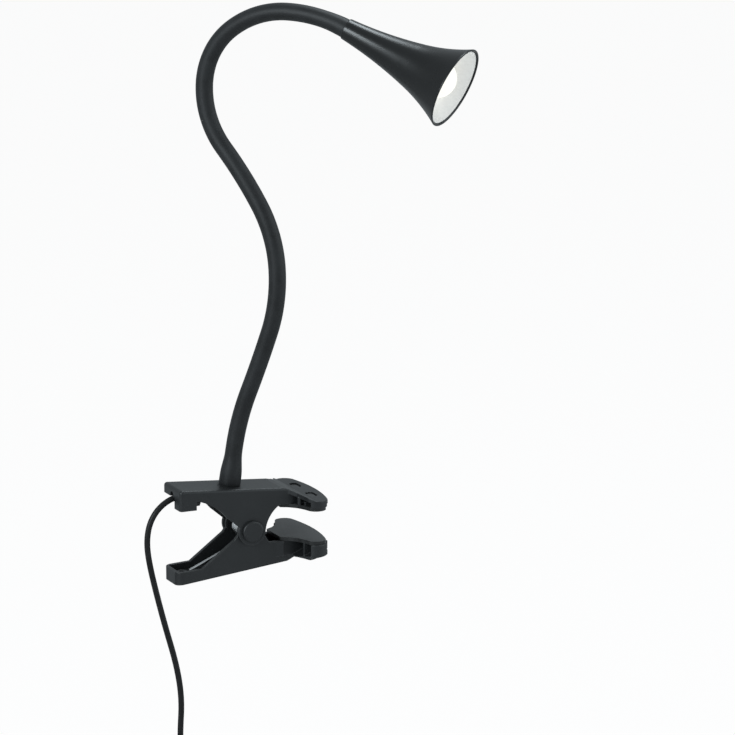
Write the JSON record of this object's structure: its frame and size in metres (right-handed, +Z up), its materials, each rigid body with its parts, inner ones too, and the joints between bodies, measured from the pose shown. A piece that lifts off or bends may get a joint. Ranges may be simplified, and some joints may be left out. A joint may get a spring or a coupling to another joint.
{
  "type": "clip-on reading lamp",
  "caption": "Black clip-on LED reading lamp: a sprung clamp for a board edge, a bendable gooseneck, a trumpet-shaped shade and a mains cord with an inline rocker switch.",
  "frame": {"origin": "middle of the upper jaw pad's gripping face, on the board's top surface", "axes": "+X from the clamp's handles to its jaws, +Y along the clamp's pivot away from the squeeze block's side, +Z up"},
  "size_m": [0.1684, 0.1551, 0.5976],
  "materials": {
    "shell_black": "fine satin moulded",
    "pad_rubber": "soft grey",
    "steel": "plated",
    "spring_steel": "bright drawn wire",
    "neck_steel": "plain",
    "neck_rubber": "matt smooth sleeve",
    "shade_black": "satin",
    "reflector_white": "white satin",
    "lens_frosted": "frosted, lit",
    "board_white": "solder mask",
    "chip_yellow": "phosphor",
    "sink_aluminium": "as cast",
    "board_green": "solder mask",
    "bar_black": "moulded",
    "cord_black": "satin sheath",
    "switch_black": "fine textured",
    "rocker_grey": "polished",
    "brass": "stamped",
    "nickel": "nickel plated"
  },
  "bodies": {
    "clamp_body": {"upper_shell": "shell_black", "upper_jaw_pad": "pad_rubber", "pivot_pin": "steel", "pivot_cap_near": "shell_black", "pivot_cap_far": "shell_black", "torsion_spring": "spring_steel", "neck_ferrule": "steel", "neck_washer": "steel", "neck_nut": "steel", "neck_core_0": "neck_steel", "neck_sleeve_0": "neck_rubber", "cord_clamp_bar": "bar_black", "cord_clamp_screws": "steel", "inner_lead": "cord_black", "supply_cord": "cord_black", "switch_base": "switch_black", "switch_cover": "switch_black", "rocker_pin": "steel", "switch_screws": "steel", "switch_contacts": "brass", "cord_coil": "cord_black", "coil_tie": "cord_black", "plug_tail": "cord_black", "plug_boot": "cord_black", "plug_body": "switch_black", "plug_pins": "nickel"},
    "lower_jaw": {"lower_shell": "shell_black", "lower_jaw_pad": "pad_rubber"},
    "neck_link_1": {"neck_core_1": "neck_steel", "neck_sleeve_1": "neck_rubber"},
    "neck_link_2": {"neck_core_2": "neck_steel", "neck_sleeve_2": "neck_rubber"},
    "neck_link_3": {"neck_core_3": "neck_steel", "neck_sleeve_3": "neck_rubber"},
    "neck_link_4": {"neck_core_4": "neck_steel", "neck_sleeve_4": "neck_rubber"},
    "neck_link_5": {"neck_core_5": "neck_steel", "neck_sleeve_5": "neck_rubber"},
    "neck_link_6": {"neck_core_6": "neck_steel", "neck_sleeve_6": "neck_rubber"},
    "neck_link_7": {"neck_core_7": "neck_steel", "neck_sleeve_7": "neck_rubber"},
    "head": {"neck_core_8": "neck_steel", "neck_sleeve_8": "neck_rubber", "head_ferrule": "steel", "shade_shell": "shade_black", "reflector": "reflector_white", "lens_dome": "lens_frosted", "led_board": "board_white", "led_chips": "chip_yellow", "heat_sink": "sink_aluminium", "driver_board": "board_green"},
    "rocker": {"switch_rocker": "rocker_grey"}
  },
  "joints": [
    {"name": "clamp_hinge", "type": "hinge", "parent": "clamp_body", "child": "lower_jaw", "pos_m": [-0.036, 0, -0.0115], "axis": [0, 1, 0], "range_deg": [-22.5, 40], "stiffness_Nm_per_rad": 0.45, "springref_deg": -68.75, "deforming": ["torsion_spring"]},
    {"name": "neck_bend_1", "type": "hinge", "parent": "clamp_body", "child": "neck_link_1", "pos_m": [-0.03648, -0.00991, 0.07126], "axis": [0.766, 0.6428, 0], "range_deg": [-25, 25], "deforming": ["neck_sleeve_1", "neck_sleeve_0"]},
    {"name": "neck_bend_2", "type": "hinge", "parent": "neck_link_1", "child": "neck_link_2", "pos_m": [-0.02786, -0.02019, 0.10713], "axis": [-0.6078, 0.7243, 0.3256], "range_deg": [-25, 25], "deforming": ["neck_sleeve_2"]},
    {"name": "neck_bend_3", "type": "hinge", "parent": "neck_link_2", "child": "neck_link_3", "pos_m": [-0.02452, -0.02417, 0.14483], "axis": [0.766, 0.6428, 0], "range_deg": [-25, 25], "deforming": ["neck_sleeve_3"]},
    {"name": "neck_bend_4", "type": "hinge", "parent": "neck_link_3", "child": "neck_link_4", "pos_m": [-0.03169, -0.01562, 0.18108], "axis": [-0.5516, 0.6573, -0.5135], "range_deg": [-25, 25], "deforming": ["neck_sleeve_4"]},
    {"name": "neck_bend_5", "type": "hinge", "parent": "neck_link_4", "child": "neck_link_5", "pos_m": [-0.04597, 0.00139, 0.21223], "axis": [0.766, 0.6428, 0], "range_deg": [-25, 25], "deforming": ["neck_sleeve_5"]},
    {"name": "neck_bend_6", "type": "hinge", "parent": "neck_link_5", "child": "neck_link_6", "pos_m": [-0.05381, 0.01073, 0.24763], "axis": [-0.6424, 0.7655, 0.0366], "range_deg": [-25, 25], "deforming": ["neck_sleeve_6"]},
    {"name": "neck_bend_7", "type": "hinge", "parent": "neck_link_6", "child": "neck_link_7", "pos_m": [-0.04294, -0.00221, 0.28066], "axis": [0.766, 0.6428, 0], "range_deg": [-25, 25], "deforming": ["neck_sleeve_7"]},
    {"name": "neck_bend_8", "type": "hinge", "parent": "neck_link_7", "child": "head", "pos_m": [-0.02009, -0.02944, 0.29296], "axis": [-0.0034, 0.004, 1], "range_deg": [-25, 25], "deforming": ["neck_sleeve_8"]},
    {"name": "switch_rock", "type": "hinge", "parent": "clamp_body", "child": "rocker", "pos_m": [-0.0772, -0.005, -0.173], "axis": [1, 0, 0], "range_deg": [-16, 0]}
  ]
}
